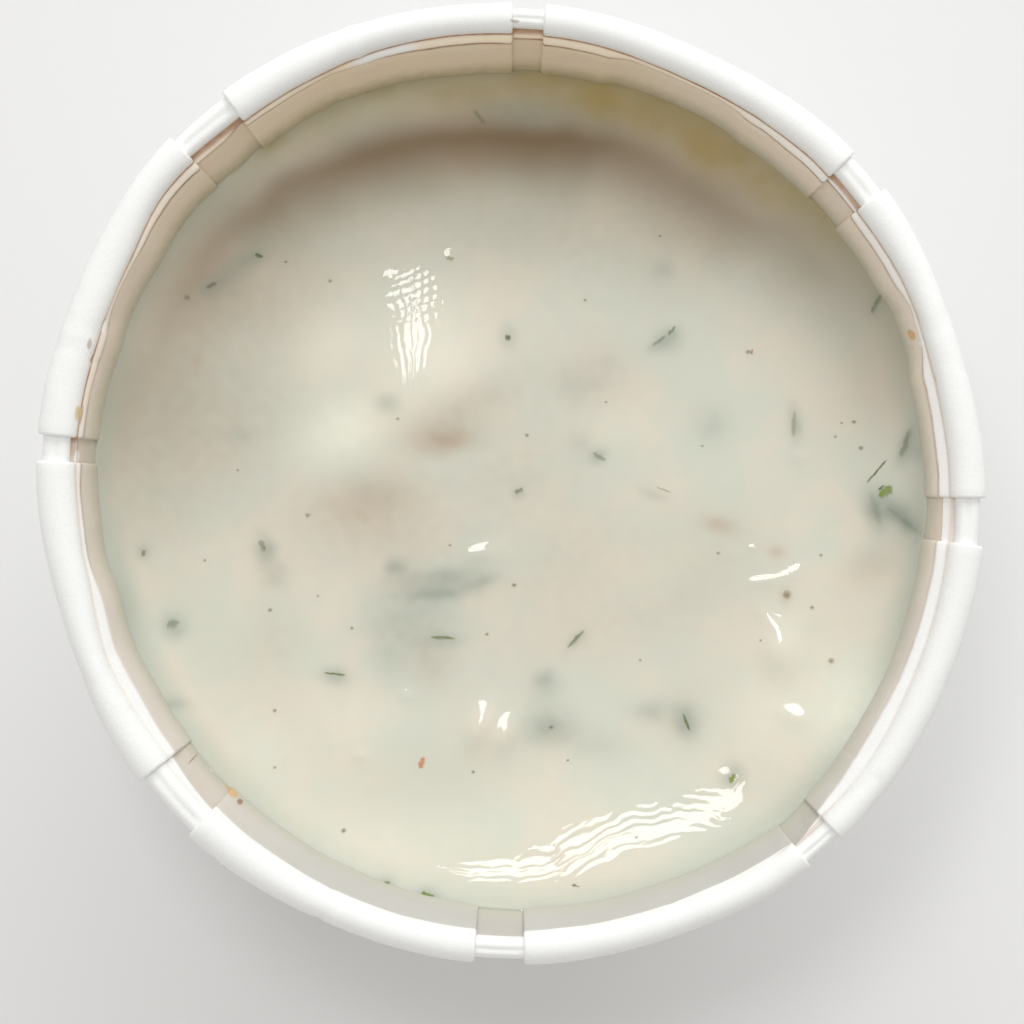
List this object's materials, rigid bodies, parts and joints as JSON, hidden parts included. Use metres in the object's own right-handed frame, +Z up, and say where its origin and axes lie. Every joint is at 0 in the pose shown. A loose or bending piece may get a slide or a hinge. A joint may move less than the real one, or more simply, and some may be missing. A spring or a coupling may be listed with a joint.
{
  "type": "paper portion cup of ranch dressing",
  "caption": "Pleated white paper portion cup with a rolled rim, filled almost to the rim with creamy ranch dressing flecked with herbs.",
  "frame": {"origin": "middle of the flat underside of the base, centred on the outline of the rim", "axes": "+Z up out of the cup's mouth, +Y to the top of the picture and +X to its right"},
  "size_m": [0.0714, 0.0724, 0.036],
  "materials": {
    "paper": "matt white uncoated paper, pleated, with faint fibres and a few oil stains inside",
    "dressing": "wet glossy cream, thick and opaque, with cool and warm mottling",
    "herbs": "wet chopped green herbs, partly coated with the cream",
    "specks": "ground pepper and spice specks"
  },
  "bodies": {
    "root": {"paper_cup": "paper", "ranch_dressing": "dressing"}
  },
  "joints": []
}
